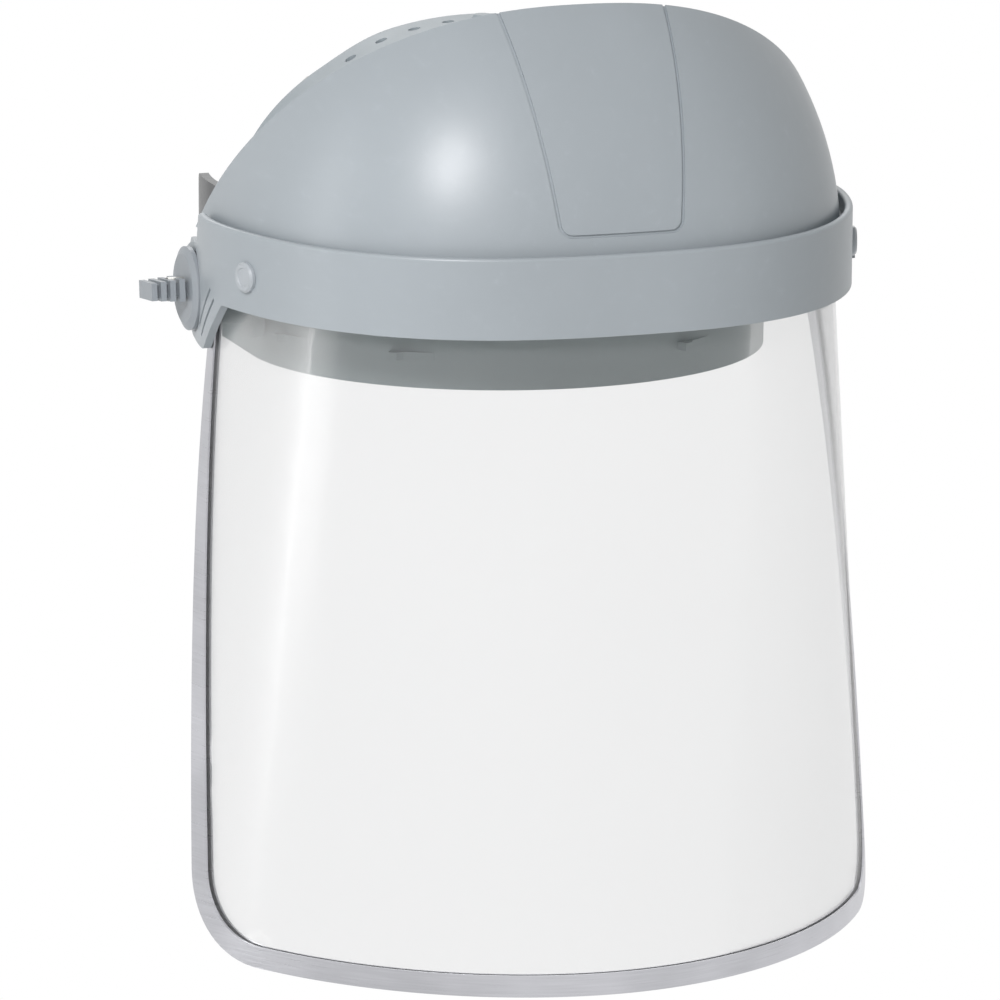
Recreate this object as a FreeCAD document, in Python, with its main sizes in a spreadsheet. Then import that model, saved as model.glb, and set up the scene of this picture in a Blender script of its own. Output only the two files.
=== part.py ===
import FreeCAD, Part
import math
import os
import Sketcher
from FreeCAD import Placement, Rotation, Vector

# A face shield: a browguard with a clear window, hung on a headgear by two tilt knobs.
# Frame: the origin is midway between the tilt pivots, +X is the wearer's left, -Y the front, +Z up.
# Millimetres and degrees.

doc = FreeCAD.newDocument("FaceShield")
sheet = doc.addObject("Spreadsheet::Sheet", "Sizes")

drivingSizes = {
    # window band, a U seen from above whose widest line lies behind the tilt axis
    "bandHalfWidth": 108.0, "bandDepth": 134.3, "bandPower": 2.5, "bandWidest": 17.0,
    "bandLift": 0.7, "bandHeight": 25.2, "bandWall": 2.6, "bandRearTop": -11.0, "bandLip": 1.0,
    "toeStart": -33.6, "toeRun": 21.8, "toeRate": 0.005,
    "earDrop": 16.3, "earFront": 33.5, "earToe": 17.5, "earRear": 15.5, "earCorner": 9.0, "earTop": 15.0,
    "ribGroove": 1.0, "ribDepth": 0.6, "ribPitch": 4.0,
    "bossRadius": 14.5, "bossThick": 4.4, "bossInset": 5.4,
    # brow dome
    "domeSideInset": 6.6, "domeFrontInset": 4.3, "domeCentre": -5.0, "domePower": 2.36,
    "domeCrownPower": 1.935, "domeBase": 15.55, "domeRise": 107.5, "domeWall": 2.6,
    "domeEdgeStart": -4.0, "domeEdgeLean": 1.0, "ledgeThick": 2.0, "ledgePlay": 0.1,
    "ledgeLift": 0.5, "footLift": 2.0, "domeCutShare": 0.86,
    "panelHalfTop": 31.0, "panelHalfFoot": 19.5, "panelFoot": 30.9, "panelTop": 107.0, "panelCorner": 4.0,
    "grooveWidth": 1.0, "grooveDepth": 0.7,
    # window and its edge binding
    "windowThick": 1.0, "windowInset": 5.4, "windowHeight": 206.2, "windowTuck": 17.3,
    "footHalfWidth": 127.6, "footDepth": 153.5, "footPower": 1.96, "footWidest": 30.9,
    "rearTop": -11.2, "rearFoot": -36.1, "windowCorner": 28.8, "pivotCut": 15.0,
    "bindingWidth": 6.8, "bindingWall": 0.6, "bindingPlay": 0.05, "bindingTuck": 6.0,
    "buttonAhead": 48.6, "buttonLevel": 12.1, "buttonRadius": 4.75, "buttonProud": 1.7,
    "postRadius": 2.4, "clipRadius": 5.5, "clipThick": 1.2, "clipPlay": 0.4,
    # tilt pivots
    "play": 0.05, "screwRadius": 2.5, "screwHeadRadius": 5.0, "screwHeadThick": 2.2,
    "washerRadius": 12.0, "washerThick": 0.9, "lugRadius": 12.0, "lugPlate": 4.0,
    "lugMargin": 3.0, "lugGap": 0.5,
    "discRadius": 13.3, "discThick": 3.0, "discBevel": 1.2, "gripReach": 12.2,
    "gripLength": 14.2, "gripHeight": 5.6, "neckLength": 10.4, "neckHeight": 4.4,
    "gripTurn": 6.0, "gripTaper": 0.5, "insertRadius": 3.8, "insertLength": 8.0,
    # headband
    "headHalfWidth": 84.0, "headFront": 81.2, "headCentre": -1.0, "headPower": 2.0, "headWall": 2.2,
    "headBottom": -22.7, "headHeight": 30.0, "headRear": 32.0, "padThick": 6.0,
    "padRear": 22.0, "fitPlay": 0.2, "hookLength": 14.0, "hookHeight": 2.4,
    "hookReach": 3.4, "hookLevel": 9.0,
    # temple brackets
    "templeFront": 14.0, "templeRear": 71.0, "templeSlant": 14.0, "templeBottom": -8.5,
    "templeTop": 27.0, "templeWall": 3.0, "templeCorner": 6.0, "studRadius": 3.0,
    "studHead": 4.2, "studProud": 1.2, "studPlay": 0.9, "leanPlay": 0.6,
    "studLevel": -0.5, "tailStudAngle": 12.0, "strapTravel": 8.0, "slotPlay": 0.4,
    # crown straps
    "crownMiddle": 20.0, "strapWidth": 20.0, "strapThick": 1.6, "crownRise": 59.6,
    "crownBase": 16.7, "crownTail": 23.0, "crownLap": 14.0, "holeRadius": 2.0,
    "holePitch": 11.5, "tabLength": 26.0, "tabThick": 1.4, "tabPlay": 1.1,
    "tabHalfWidth": 7.0, "tabTurn": 55.0, "tabAngle": 42.0, "pegHead": 1.8, "pegHeadThick": 1.0,
    # nape straps and ratchet, in a frame that leans back about the head's width line
    "napeCentre": 34.0, "napeLevel": 7.5, "napeLean": 18.0, "napeRadius": 83.9,
    "tailThick": 2.0, "tailHeight": 14.0, "tailStart": 2.0, "tailEnd": 96.0, "rackStart": 66.0,
    "pinionRadius": 4.0, "toothDepth": 1.3, "toothCount": 10.0, "toothPlay": 0.3,
    "housingAngle": 21.0, "housingHeight": 28.0, "housingSkin": 2.3, "coverThick": 3.6,
    "ratchetRadius": 17.0, "ratchetDepth": 12.0, "ratchetShaft": 2.6, "napePadThick": 5.0,
    "napePadAngle": 29.0, "napePadHeight": 34.0, "coverScrewAcross": 16.0, "coverScrewUp": 10.0,
    "coverScrewRadius": 1.3, "coverScrewHead": 2.4, "coverScrewHeadThick": 1.2, "coverRound": 1.6,
    "fluteRadius": 2.2, "fluteCount": 12.0, "knobRound": 2.0,
}


class Size:
    """A value together with the expression that binds it to the sheet."""

    def __init__(self, value, text):
        self.value = value
        self.text = text

    def __add__(self, other):
        other = sized(other)
        return Size(self.value + other.value, f"({self.text} + {other.text})")

    def __sub__(self, other):
        other = sized(other)
        return Size(self.value - other.value, f"({self.text} - {other.text})")

    def __mul__(self, other):
        other = sized(other)
        return Size(self.value * other.value, f"({self.text} * {other.text})")

    def __truediv__(self, other):
        other = sized(other)
        return Size(self.value / other.value, f"({self.text} / {other.text})")

    def __neg__(self):
        return Size(-self.value, f"(0 - {self.text})")


def sized(number):
    return number if isinstance(number, Size) else Size(float(number), repr(float(number)))


size = {}
for row, (name, value) in enumerate(drivingSizes.items(), start=1):
    sheet.set(f"A{row}", name)
    sheet.set(f"B{row}", str(value))
    sheet.setAlias(f"B{row}", name)
    size[name] = Size(value, f"Sizes.{name}")
doc.recompute()


def val(name):
    return size[name].value


parts = []


def keep(piece, label):
    piece.Label = label
    parts.append(piece)
    return piece


# ---- features bound to the sheet ------------------------------------------------------------

def newBody(label):
    return keep(doc.addObject("PartDesign::Body", label), label)


def originPlane(body, role):
    return next(item for item in body.Origin.OriginFeatures if item.Role == role)


def newSketch(body, name, role, lift=0):
    sketch = body.newObject("Sketcher::SketchObject", name)
    sketch.AttachmentSupport = (originPlane(body, role), [""])
    sketch.MapMode = "FlatFace"
    lift = sized(lift)
    sketch.AttachmentOffset = Placement(Vector(0, 0, lift.value), Rotation())
    sketch.setExpression("AttachmentOffset.Base.z", lift.text)
    return sketch


def pin(sketch, kind, geometry, position, amount):
    amount = sized(amount)
    constraint = Sketcher.Constraint(kind, -1, 1, geometry, position, amount.value)
    index = sketch.addConstraint(constraint)
    sketch.setExpression(f"Constraints[{index}]", amount.text)


def polygonSketch(body, name, role, points, lift=0):
    sketch = newSketch(body, name, role, lift)
    points = [(sized(across), sized(along)) for across, along in points]
    first = sketch.GeometryCount
    corners = [Vector(across.value, along.value, 0) for across, along in points]
    for index, corner in enumerate(corners):
        sketch.addGeometry(Part.LineSegment(corner, corners[(index + 1) % len(corners)]))
    for index, (across, along) in enumerate(points):
        following = first + (index + 1) % len(points)
        sketch.addConstraint(Sketcher.Constraint("Coincident", first + index, 2, following, 1))
        pin(sketch, "DistanceX", first + index, 1, across)
        pin(sketch, "DistanceY", first + index, 1, along)
    return sketch


def circleSketch(body, name, role, radii, lift=0):
    sketch = newSketch(body, name, role, lift)
    for radius in radii:
        radius = sized(radius)
        index = sketch.addGeometry(Part.Circle(Vector(), Vector(0, 0, 1), radius.value))
        sketch.addConstraint(Sketcher.Constraint("Coincident", index, 3, -1, 1))
        constraint = sketch.addConstraint(Sketcher.Constraint("Radius", index, radius.value))
        sketch.setExpression(f"Constraints[{constraint}]", radius.text)
    return sketch


def rectangleSketch(body, name, role, width, height, lift=0):
    halfWide, halfHigh = sized(width) / 2, sized(height) / 2
    corners = [(-halfWide, -halfHigh), (halfWide, -halfHigh), (halfWide, halfHigh), (-halfWide, halfHigh)]
    return polygonSketch(body, name, role, corners, lift)


def pad(body, sketch, length):
    feature = body.newObject("PartDesign::Pad", sketch.Name + "Pad")
    feature.Profile = sketch
    feature.setExpression("Length", sized(length).text)
    body.Tip = feature
    return feature


def turn(body, sketch, axis):
    feature = body.newObject("PartDesign::Revolution", sketch.Name + "Turn")
    feature.Profile = sketch
    feature.ReferenceAxis = (sketch, [axis])
    feature.Angle = 360
    body.Tip = feature
    return feature


def outward(side):
    """Turns a piece made along +X so that it points outward on its own side."""
    return Placement(Vector(), Rotation(Vector(0, 0, 1), 0 if side > 0 else 180))


# ---- shapes that follow a formula -----------------------------------------------------------

def addShape(label, shape):
    piece = doc.addObject("Part::Feature", label)
    piece.Shape = shape
    return keep(piece, label)


def bowPoint(plan, angle, inset):
    """A point of a superellipse bow, moved inward along its normal. 0 is -X, 180 is +X, 90 the front.
    A bow with a toe-in leans towards the midplane behind a given place."""
    halfWidth, depth, power, centre = plan[:4]
    cosine, sine = math.cos(math.radians(angle)), math.sin(math.radians(angle))
    across = math.copysign(abs(cosine) ** (2 / power), -cosine)
    along = -abs(sine) ** (2 / power)
    normal = Vector(math.copysign(abs(across) ** (power - 1), across) / halfWidth,
                    -abs(along) ** (power - 1) / depth, 0)
    point = Vector(across * halfWidth, along * depth + centre, 0)
    if len(plan) > 4 and point.y > plan[4]:
        toeStart, toeRun, toeRate = plan[4:]
        past, side = point.y - toeStart, math.copysign(1, point.x)
        bent = min(past, toeRun)
        point.x -= side * toeRate * bent * (2 * past - bent)
        slope = -normal.y / normal.x - side * 2 * toeRate * bent
        normal = Vector(side, -slope * side, 0)
    normal.normalize()
    return point - normal * inset, normal


def bowAngle(plan, level):
    """The angle on the -X side at which the bow reaches a place along Y."""
    reach = (plan[3] - level) / plan[1]
    return math.degrees(math.asin(reach ** (plan[2] / 2)))


def spline(points):
    curve = Part.BSplineCurve()
    curve.interpolate(points)
    return curve.toShape()


def closedWire(chains):
    """Joins curves given as lists of points, the long ones as splines, into one closed wire."""
    edges = []
    for index, chain in enumerate(chains):
        edges.append(spline(chain) if len(chain) > 2 else Part.LineSegment(*chain).toShape())
        start = chains[(index + 1) % len(chains)][0]
        if (chain[-1] - start).Length > 1e-6:
            edges.append(Part.LineSegment(chain[-1], start).toShape())
    return Part.Wire(edges)


def bowPoints(plan, inset, start, end, count=31):
    angles = [start + (end - start) * step / (count - 1) for step in range(count)]
    return [bowPoint(plan, angle, inset)[0] for angle in angles]


def bowWall(plan, outer, inner, start, end, bottom, height, startTail=0, endTail=0):
    """An upright wall along a bow, with straight tails that run on along +Y at its ends."""
    chains = []
    for inset, way in ((outer, 1), (inner, -1)):
        points = bowPoints(plan, inset, start, end)
        chain = []
        if startTail:
            chain.append([points[0] + Vector(0, startTail, 0), points[0]])
        chain.append(points)
        if endTail:
            chain.append([points[-1], points[-1] + Vector(0, endTail, 0)])
        chains += chain if way > 0 else [part[::-1] for part in chain[::-1]]
    wire = closedWire(chains)
    wire.translate(Vector(0, 0, bottom))
    return Part.Face(wire).extrude(Vector(0, 0, height))


def roundedOutline(corners):
    """A closed wire through (across, up, radius) corners, in the YZ plane."""
    edges, joints = [], []
    count = len(corners)
    for index, (across, up, radius) in enumerate(corners):
        here = Vector(0, across, up)
        before = Vector(0, *corners[index - 1][:2]) - here
        after = Vector(0, *corners[(index + 1) % count][:2]) - here
        before.normalize()
        after.normalize()
        if radius:
            half = before.getAngle(after) / 2
            reach = radius / math.tan(half)
            middle = before + after
            middle.normalize()
            centre = here + middle * (radius / math.sin(half))
            joints.append((here + before * reach, centre - middle * radius, here + after * reach))
        else:
            joints.append((here, None, here))
    for index, (start, top, end) in enumerate(joints):
        if top:
            edges.append(Part.Arc(start, top, end).toShape())
        edges.append(Part.LineSegment(end, joints[(index + 1) % count][0]).toShape())
    return Part.Wire(edges)


def sidePrism(corners, start=-200.0, end=200.0):
    """A prism across X whose side view is the rounded outline."""
    wire = roundedOutline(corners)
    wire.translate(Vector(start, 0, 0))
    return Part.Face(wire).extrude(Vector(end - start, 0, 0))


def sector(inner, outer, start, end, bottom, height):
    """Part of an upright ring between two angles, measured from +X towards +Y."""
    ring = Part.makeCylinder(outer, height, Vector(0, 0, bottom), Vector(0, 0, 1), end - start)
    ring = ring.cut(Part.makeCylinder(inner, height, Vector(0, 0, bottom)))
    ring.rotate(Vector(), Vector(0, 0, 1), start)
    return ring


def mirrored(shape):
    return shape.mirror(Vector(), Vector(1, 0, 0))


def onlySolid(shape):
    return shape.Solids[0] if len(shape.Solids) == 1 else shape


# ---- values worked out from the sheet ---------------------------------------------------------

bandPlan = (val("bandHalfWidth"), val("bandDepth"), val("bandPower"), val("bandWidest"),
            val("toeStart"), val("toeRun"), val("toeRate"))
bandBottom = val("bandLift")
bandTop = bandBottom + val("bandHeight")
bossFace = size["bandHalfWidth"] - size["bossInset"]
bossSeat = bossFace - size["bossThick"]
windowTop = bandBottom + val("windowTuck")
ledgeBottom = windowTop + val("ledgeLift")
boreRadius = size["screwRadius"] + size["play"]
buttonAngle = bowAngle(bandPlan, -val("buttonAhead"))
buttonPoint, buttonNormal = bowPoint(bandPlan, buttonAngle, 0)
footInset = val("windowInset") + val("windowThick") + val("fitPlay")
footBack = footInset + val("domeWall")


def buttonPlacement(side):
    """At the button's centre on the band's outer face, with +X outward."""
    turned = math.degrees(math.atan2(buttonNormal.y, side * abs(buttonNormal.x)))
    place = Vector(side * abs(buttonPoint.x), buttonPoint.y, val("buttonLevel"))
    return Placement(place, Rotation(Vector(0, 0, 1), turned))


def buttonBores(radius):
    bores = []
    for side in (1, -1):
        bore = Part.makeCylinder(radius, 40, Vector(-20, 0, 0), Vector(1, 0, 0))
        bore.Placement = buttonPlacement(side)
        bores.append(bore)
    return bores


# ---- browguard --------------------------------------------------------------------------------

def makeBand():
    """The U-shaped band with an ear at each end, thickened to a flat boss round the pivot."""
    start = bowAngle(bandPlan, val("earRear") + 0.5)
    bottom = -val("earDrop")
    wall = bowWall(bandPlan, 0, val("bandWall"), start, 180 - start, bottom, bandTop - bottom)
    rear, front = val("earRear"), -val("bandDepth")
    outline = sidePrism([
        (front, bandTop + 5, 0), (front, bandBottom, 0), (-val("earFront"), bandBottom, 2),
        (-val("earToe"), bottom, 4), (rear, bottom, val("earCorner")),
        (rear, val("earTop"), val("earCorner")),
        (val("bandRearTop") + 5, val("earTop"), 2), (val("bandRearTop"), bandTop, 0),
        (val("bandRearTop"), bandTop + 5, 0)])
    band = wall.common(outline)
    # two shallow grooves beside the ear's slanting front edge
    skin = bowWall(bandPlan, -0.5, val("ribDepth"), start, 180 - start, bottom, bandTop - bottom)
    band = band.cut(skin.common(earGrooves()))
    lip = [edge for edge in band.Edges if all(abs(point.Z - bandTop) < 1e-4 for point in edge.Vertexes)
           and edge.Length > 100]
    band = band.makeFillet(val("bandLip"), lip)
    for side in (1, -1):
        boss = Part.makeCylinder(val("bossRadius"), val("bossThick"), Vector(side * bossSeat.value, 0, 0),
                                 Vector(side, 0, 0))
        band = band.fuse(boss.common(outline))
        spotFace = Part.makeCylinder(val("discRadius") + 0.5, 20, Vector(side * bossFace.value, 0, 0),
                                     Vector(side, 0, 0))
        band = band.cut(spotFace)
        band = band.cut(Part.makeCylinder(boreRadius.value, 60, Vector(side * 80, 0, 0), Vector(side, 0, 0)))
    # the boss keeps clear of the friction washer on its inner face
    for side in (1, -1):
        band = band.cut(Part.makeCylinder(val("bossRadius"), 20, Vector(side * bossSeat.value, 0, 0),
                                          Vector(-side, 0, 0)))
    band = band.cut(buttonBores(val("postRadius") + val("play")))
    addShape("window_band", onlySolid(band))


def earGrooves():
    """Prisms across X along two lines parallel to the ear's front edge."""
    run, drop = val("earFront") - val("earToe"), val("earDrop") + bandBottom
    length = math.hypot(run, drop)
    along, across = Vector(0, run / length, -drop / length), Vector(0, drop / length, run / length)
    grooves = []
    for step in (1, 2):
        start = Vector(-200, -val("earFront"), bandBottom) + across * val("ribPitch") * step + along * 3
        end, wide = start + along * (length - 4), across * val("ribGroove")
        corners = [start, end, end + wide, start + wide]
        face = Part.Face(Part.makePolygon(corners + corners[:1]))
        grooves.append(face.extrude(Vector(400, 0, 0)))
    return Part.makeCompound(grooves)


def domeLoft(inset):
    """The dome's solid form, moved inward all over by the inset."""
    halfWidth = val("bandHalfWidth") - val("domeSideInset") - inset
    depth = val("bandDepth") - val("bandWidest") - val("domeFrontInset") + val("domeCentre") - inset
    rise = val("domeRise") - inset
    wires = []
    levels = 10
    lowest, highest = ledgeBottom + val("ledgeLift"), val("domeBase") + val("domeCutShare") * val("domeRise")
    for step in range(levels):
        level = lowest + (highest - lowest) * step / (levels - 1)
        share = ((level - val("domeBase")) / rise) ** val("domeCrownPower")
        narrowing = (1 - share) ** (1 / val("domeCrownPower"))
        plan = (halfWidth * narrowing, depth * narrowing, val("domePower"), val("domeCentre"))
        points = bowPoints(plan, 0, 0, 180)
        back = Vector(0, 8, 0)
        wire = closedWire([[points[0] + back, points[0]], points, [points[-1], points[-1] + back]])
        wire.translate(Vector(0, 0, level))
        wires.append(wire)
    return Part.makeLoft(wires, True, False)


def panelGroove():
    """A thin groove round the centre panel, cut to a small depth in the dome."""
    half = val("grooveWidth") / 2
    rings = []
    for grow in (half, -half):
        foot, top = val("panelHalfFoot") + grow, val("panelHalfTop") + grow
        low, high, radius = val("panelFoot") - grow, val("panelTop") + 20, val("panelCorner") + grow
        corners = [(-foot, low, radius), (foot, low, radius), (top, high, 0), (-top, high, 0)]
        prism = sidePrism(corners, 0, 220)
        prism.rotate(Vector(), Vector(0, 0, 1), -90)
        rings.append(prism)
    return rings[0].cut(rings[1])


def makeDome():
    outer = domeLoft(0)
    shell = outer.cut(domeLoft(val("domeWall")))
    groove = panelGroove().common(outer.cut(domeLoft(val("grooveDepth"))))
    shell = shell.cut(groove)
    # the rear edge leans forward as it rises
    lean = val("domeEdgeLean")
    start, low, high = val("domeEdgeStart"), bandTop, 140.0
    behind = sidePrism([(start + lean * 30, low - 30, 0), (80, low - 30, 0), (80, high, 0),
                        (start - lean * (high - low), high, 0)])
    shell = shell.cut(behind)
    footBottom = bandBottom + val("footLift")
    angle = bowAngle(bandPlan, val("bandRearTop") - 1)
    ledge = bowWall(bandPlan, val("bandWall") + val("ledgePlay"), footBack, angle, 180 - angle,
                    ledgeBottom, val("ledgeThick"))
    foot = bowWall(bandPlan, footInset, footBack, angle, 180 - angle, footBottom, ledgeBottom - footBottom)
    foot = foot.cut(Part.makeCylinder(val("pivotCut"), 400, Vector(-200, 0, 0), Vector(1, 0, 0)))
    dome = shell.fuse([ledge, foot])
    dome = dome.cut(buttonBores(val("postRadius") + val("play")))
    addShape("brow_dome", onlySolid(dome))


# ---- window and binding -----------------------------------------------------------------------

def windowSkin(outer, inner):
    """The window's curved sheet between two offsets, larger than its outline."""
    topPlan = bandPlan
    footPlan = (val("footHalfWidth"), val("footDepth"), val("footPower"), val("footWidest"))
    stretch = 1 + 4 / val("windowHeight")
    rows = []
    for inset in (outer, inner):
        top = bowPoints(topPlan, val("windowInset") + inset, 5, 175, 41)
        foot = bowPoints(footPlan, inset, 5, 175, 41)
        low = [high + (bottom - high) * stretch for high, bottom in zip(top, foot)]
        rows.append((top, low))
    (outerTop, outerLow), (innerTop, innerLow) = rows
    topWire = closedWire([outerTop, innerTop[::-1]])
    lowWire = closedWire([outerLow, innerLow[::-1]])
    topWire.translate(Vector(0, 0, bandBottom))
    lowWire.translate(Vector(0, 0, bandBottom - val("windowHeight") * stretch))
    skin = Part.makeLoft([topWire, lowWire], True, True)
    return skin, Part.Face(topWire).extrude(Vector(0, 0, windowTop - bandBottom))


def windowOutline(grow):
    """The window's side view, grown outward by an amount."""
    foot = bandBottom - val("windowHeight") - grow
    run = (val("rearFoot") - val("rearTop")) / val("windowHeight")
    reach = grow * math.hypot(1, run)
    rearFoot, rearHigh = [val("rearTop") + reach + run * (bandBottom - level) for level in (foot, 60)]
    return sidePrism([(-200, 60, 0), (-200, foot, 0), (rearFoot, foot, val("windowCorner") + grow),
                      (rearHigh, 60, 0)])


def pivotRelief(radius):
    return Part.makeCylinder(radius, 400, Vector(-200, 0, 0), Vector(1, 0, 0))


def makeWindow():
    skin, tuck = windowSkin(0, val("windowThick"))
    outline = windowOutline(0)
    tuckRear = val("bandRearTop") - 2
    tuck = tuck.common(sidePrism([(-200, -30, 0), (tuckRear, -30, 0), (tuckRear, 60, 0), (-200, 60, 0)]))
    window = skin.common(outline).fuse(tuck).cut(pivotRelief(val("pivotCut")))
    window = window.cut(buttonBores(val("postRadius") + val("play")))
    addShape("window", onlySolid(window))


def makeBinding():
    wall, play = val("bindingWall"), val("bindingPlay")
    whole = windowSkin(-wall - play, val("windowThick") + wall + play)[0].common(windowOutline(wall + play))
    slot = windowSkin(-play, val("windowThick") + play)[0].common(windowOutline(play))
    inside = windowOutline(wall - val("bindingWidth"))
    binding = whole.cut(slot).cut(inside)
    binding = binding.cut(pivotRelief(val("pivotCut") + 0.5))
    binding = binding.cut(Part.makeBox(400, 400, 60, Vector(-200, -200, bandBottom - val("bindingTuck"))))
    addShape("edge_binding", onlySolid(binding))


def makeButtons(side, sideName):
    """A push button whose post passes the band, the window and the dome's foot into a clip."""
    reach = sized(footBack) + size["clipPlay"] + size["clipThick"] + 0.6
    body = newBody(f"window_button_{sideName}")
    proud, radius, post = size["buttonProud"], size["buttonRadius"], size["postRadius"]
    sketch = polygonSketch(body, f"ButtonProfile{sideName}", "XY_Plane", [
        (-reach, 0), (-reach, post - 0.4), (-reach + 0.6, post), (0, post), (0, radius),
        (proud - 0.7, radius), (proud, radius - 0.7), (proud, radius - 1.7),
        (proud - 0.4, radius - 2.1), (proud - 0.4, 0)])
    turn(body, sketch, "H_Axis")
    body.Placement = buttonPlacement(side)
    clip = newBody(f"button_clip_{sideName}")
    back = -(sized(footBack) + size["clipThick"])
    ring = circleSketch(clip, f"ClipRing{sideName}", "YZ_Plane",
                        [size["clipRadius"], post + size["play"]], back - size["clipPlay"])
    pad(clip, ring, size["clipThick"])
    clip.Placement = buttonPlacement(side)


# ---- tilt pivots ------------------------------------------------------------------------------

def makeWasher(label, start, side):
    body = newBody(label)
    ring = circleSketch(body, label + "Ring", "YZ_Plane", [size["washerRadius"], boreRadius], start)
    pad(body, ring, size["washerThick"])
    body.Placement = outward(side)


def makePivot(side, sideName):
    """Carriage screw, two washers and the tilt knob with its threaded insert."""
    plate = size["headHalfWidth"] + size["fitPlay"]
    discBack = bossFace + size["play"] * 2 + size["washerThick"]
    discFront = discBack + size["discThick"]
    makeWasher(f"friction_washer_{sideName}", bossSeat - size["play"] - size["washerThick"], side)
    makeWasher(f"thrust_washer_{sideName}", bossFace + size["play"], side)

    insertEnd = discBack + size["insertLength"]
    screw = newBody(f"pivot_screw_{sideName}")
    head, shank = size["screwHeadRadius"], size["screwRadius"]
    neck = plate + size["screwHeadThick"]
    turn(screw, polygonSketch(screw, f"ScrewProfile{sideName}", "XY_Plane", [
        (plate + 0.1, 0), (plate + 0.1, head - 0.6), (plate + 0.7, head), (neck, head), (neck, shank),
        (insertEnd - 0.9, shank), (insertEnd - 0.3, shank - 0.6), (insertEnd - 0.3, 0)]), "H_Axis")
    screw.Placement = outward(side)

    insert = newBody(f"knob_insert_{sideName}")
    ring = circleSketch(insert, f"InsertRing{sideName}", "YZ_Plane",
                        [size["insertRadius"], boreRadius], discBack)
    pad(insert, ring, size["insertLength"])
    insert.Placement = outward(side)

    knob = newBody(f"tilt_knob_{sideName}")
    radius, bevel = size["discRadius"], size["discBevel"]
    socket = size["insertRadius"] + 0.02
    turn(knob, polygonSketch(knob, f"DiscProfile{sideName}", "XY_Plane", [
        (discBack, socket), (discBack, radius - 0.4), (discBack + 0.4, radius),
        (discFront - bevel, radius), (discFront, radius - bevel * 2), (discFront, socket)]), "H_Axis")
    plates = 4
    pitch = size["gripReach"] / plates
    for step in range(plates):
        begin = discFront + pitch * step
        neckSketch = rectangleSketch(knob, f"Neck{sideName}{step}", "YZ_Plane",
                                     size["neckLength"], size["neckHeight"], begin - 0.01)
        pad(knob, neckSketch, pitch * 0.4 + 0.02)
        plateHeight = size["gripHeight"] + size["gripTaper"] * (plates - 1 - step)
        plateSketch = rectangleSketch(knob, f"Plate{sideName}{step}", "YZ_Plane",
                                      size["gripLength"], plateHeight, begin + pitch * 0.4)
        pad(knob, plateSketch, pitch * 0.6)
    boreEnd = insertEnd + 0.4
    bore = circleSketch(knob, f"Bore{sideName}", "YZ_Plane", [socket], boreEnd)
    pocket = knob.newObject("PartDesign::Pocket", f"Bore{sideName}Pocket")
    pocket.Profile = bore
    pocket.setExpression("Length", (boreEnd - discBack + 0.5).text)
    knob.Tip = pocket
    lean = -val("gripTurn") if side > 0 else val("gripTurn")
    knob.Placement = outward(side) * Placement(Vector(), Rotation(Vector(1, 0, 0), lean))


def makeLug(side, sideName):
    """The headgear's side lug: a plate on the headband with a boss out to the friction washer."""
    plate = val("headHalfWidth") + val("fitPlay")
    end = bossSeat.value - 2 * val("play") - val("washerThick")
    rear, half = val("templeFront") - val("lugGap"), val("lugRadius") + val("lugMargin")
    lug = sidePrism([(-half, -half, 5), (rear, -half, 1), (rear, half, 1), (-half, half, 5)],
                    plate, plate + val("lugPlate"))
    lug = lug.fuse(Part.makeCylinder(val("lugRadius"), end - plate, Vector(plate, 0, 0), Vector(1, 0, 0)))
    lug = lug.cut(Part.makeCylinder(boreRadius.value, 60, Vector(70, 0, 0), Vector(1, 0, 0)))
    headRoom = Part.makeCylinder(val("screwHeadRadius") + val("play"), val("screwHeadThick") + val("play"),
                                 Vector(plate, 0, 0), Vector(1, 0, 0))
    lug = lug.cut(headRoom)
    addShape(f"side_lug_{sideName}", onlySolid(lug if side > 0 else mirrored(lug)))


# ---- headband ---------------------------------------------------------------------------------

headPlan = (val("headHalfWidth"), val("headFront") + val("headCentre"), val("headPower"), val("headCentre"))


def makeHeadband():
    """The front of the headband with hooks that hold the brow pad."""
    band = bowWall(headPlan, 0, val("headWall"), 0, 180, val("headBottom"), val("headHeight"),
                   *[val("headRear") - val("headCentre")] * 2)
    hooks = []
    reach, length, thick = val("hookReach"), val("hookLength"), val("hookHeight")
    fin = [Vector(-1, -length / 2, 0), Vector(reach, -length / 2, 0), Vector(reach, -length / 2 + 3, 0),
           Vector(reach / 2, -length / 2 + 4.5, 0), Vector(-0.2, length / 2, 0), Vector(-1, length / 2, 0)]
    for angle in (20, 52, 117, 160):
        point, normal = bowPoint(headPlan, angle, 0)
        hook = Part.Face(Part.makePolygon(fin + fin[:1])).extrude(Vector(0, 0, thick))
        hook.Placement = Placement(point + Vector(0, 0, val("headBottom") + val("hookLevel")),
                                   Rotation(Vector(0, 0, 1), math.degrees(math.atan2(normal.y, normal.x))))
        hooks.append(hook)
    band = band.fuse(hooks)
    for side in (1, -1):
        bore = Part.makeCylinder(val("studRadius") + val("play"), 40,
                                 Vector(side * 60, val("crownMiddle"), val("studLevel")), Vector(side, 0, 0))
        band = band.cut(bore)
    addShape("headband", onlySolid(band))


def makeBrowPad():
    inner = val("headWall") + val("fitPlay")
    angle = bowAngle(headPlan, -val("padRear"))
    brow = bowWall(headPlan, inner, inner + val("padThick"), angle, 180 - angle,
                   val("headBottom") + 1, val("headHeight") - 2)
    addShape("brow_pad", onlySolid(brow))


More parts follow.
